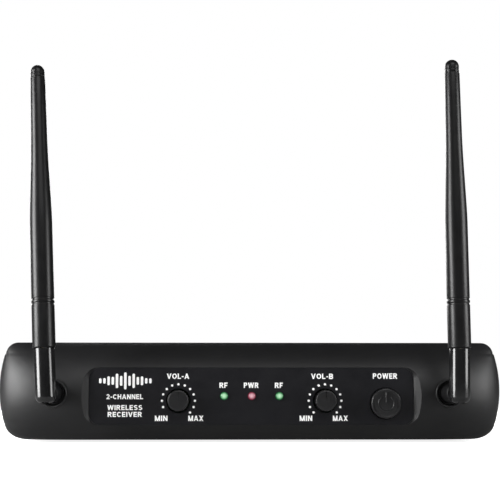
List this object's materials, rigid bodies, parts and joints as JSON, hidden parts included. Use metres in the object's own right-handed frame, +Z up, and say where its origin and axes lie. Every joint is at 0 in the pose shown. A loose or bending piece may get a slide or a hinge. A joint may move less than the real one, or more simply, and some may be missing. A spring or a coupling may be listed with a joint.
{
  "type": "wireless receiver unit",
  "caption": "Low black plastic wireless audio receiver with a pillow-shaped front, volume knobs, lamps, a power button and antennas on two-axis front joints.",
  "frame": {"origin": "centre of the bounding box in plan, on the plane that the feet stand on", "axes": "+X to the right seen from the front, the front faces -Y, +Z up"},
  "size_m": [0.205, 0.1475, 0.1505],
  "materials": {
    "case_plastic": "fine grained matte",
    "overlay_film": "satin printed film",
    "rubber": "matte",
    "dark_steel": "black oxide",
    "bright_steel": "zinc plated",
    "circuit_board": "solder mask",
    "tinned_steel": "tinned",
    "black_plastic": "moulded",
    "white_plastic": "moulded",
    "capacitor_sleeve": "shrink sleeve",
    "resistor_body": "lacquered",
    "aluminium": "anodised",
    "brass": "plain",
    "pot_body": "moulded",
    "control_plastic": "satin moulded",
    "green_lamp": "lit lens",
    "red_lamp": "lit lens",
    "antenna_plastic": "satin moulded",
    "antenna_gloss": "polished",
    "antenna_rubber": "satin rubber"
  },
  "bodies": {
    "root": {"front_bezel": "case_plastic", "panel_overlay": "overlay_film", "top_cover": "case_plastic", "bottom_case": "case_plastic", "rear_panel": "case_plastic", "rubber_feet": "rubber", "case_screws": "dark_steel", "pcb_screws": "bright_steel", "main_pcb": "circuit_board", "rf_shield_a": "tinned_steel", "rf_shield_b": "tinned_steel", "ic_chips": "black_plastic", "crystals": "tinned_steel", "capacitors": "capacitor_sleeve", "tuning_coils": "tinned_steel", "resistors": "resistor_body", "voltage_regulator": "black_plastic", "heat_sink": "aluminium", "audio_jack": "black_plastic", "audio_jack_washer": "bright_steel", "audio_jack_nut": "black_plastic", "dc_jack": "black_plastic", "dc_jack_pin": "brass", "volume_pot_a": "pot_body", "volume_pot_b": "pot_body", "lamp_rf_a": "green_lamp", "lamp_power": "red_lamp", "lamp_rf_b": "green_lamp", "lamp_leads": "tinned_steel", "power_switch": "black_plastic", "left_antenna_contact": "brass", "right_antenna_contact": "brass"},
    "volume_a": {"volume_knob_a": "control_plastic", "volume_shaft_a": "black_plastic"},
    "volume_b": {"volume_knob_b": "control_plastic", "volume_shaft_b": "black_plastic"},
    "power_key": {"power_button": "control_plastic", "power_plunger": "white_plastic"},
    "left_swivel": {"left_swivel_hub": "antenna_plastic", "left_hub_washer": "bright_steel", "left_hub_nut": "brass"},
    "right_swivel": {"right_swivel_hub": "antenna_plastic", "right_hub_washer": "bright_steel", "right_hub_nut": "brass"},
    "left_antenna": {"left_antenna_stub": "antenna_gloss", "left_antenna_sleeve": "antenna_rubber", "left_antenna_ring": "antenna_rubber", "left_antenna_whip": "antenna_rubber", "left_antenna_tip": "antenna_rubber", "left_radiator": "brass", "left_hinge_pin": "bright_steel"},
    "right_antenna": {"right_antenna_stub": "antenna_gloss", "right_antenna_sleeve": "antenna_rubber", "right_antenna_ring": "antenna_rubber", "right_antenna_whip": "antenna_rubber", "right_antenna_tip": "antenna_rubber", "right_radiator": "brass", "right_hinge_pin": "bright_steel"}
  },
  "joints": [
    {"name": "volume_a_turn", "type": "hinge", "parent": "root", "child": "volume_a", "pos_m": [-0.02925, -0.05145, 0.0168], "axis": [0, 1, 0], "range_deg": [-135, 135]},
    {"name": "volume_b_turn", "type": "hinge", "parent": "root", "child": "volume_b", "pos_m": [0.02925, -0.05145, 0.0168], "axis": [0, 1, 0], "range_deg": [-135, 135]},
    {"name": "power_press", "type": "slide", "parent": "root", "child": "power_key", "axis": [0, 1, 0], "range_m": [0, 0.002], "stiffness_N_per_m": 600, "springref_m": -0.0005},
    {"name": "left_antenna_swivel", "type": "hinge", "parent": "root", "child": "left_swivel", "pos_m": [-0.0789, -0.06945, 0.01975], "axis": [0, 1, 0], "range_deg": [-86.2, 33.8]},
    {"name": "left_antenna_tilt", "type": "hinge", "parent": "left_swivel", "child": "left_antenna", "pos_m": [-0.0789, -0.06945, 0.01975], "axis": [0.9978, 0, 0.0663], "range_deg": [-0.2, 93.8]},
    {"name": "right_antenna_swivel", "type": "hinge", "parent": "root", "child": "right_swivel", "pos_m": [0.0789, -0.06945, 0.01975], "axis": [0, 1, 0], "range_deg": [-31.1, 88.9]},
    {"name": "right_antenna_tilt", "type": "hinge", "parent": "right_swivel", "child": "right_antenna", "pos_m": [0.0789, -0.06945, 0.01975], "axis": [0.9998, 0, -0.0192], "range_deg": [-4, 90]}
  ]
}
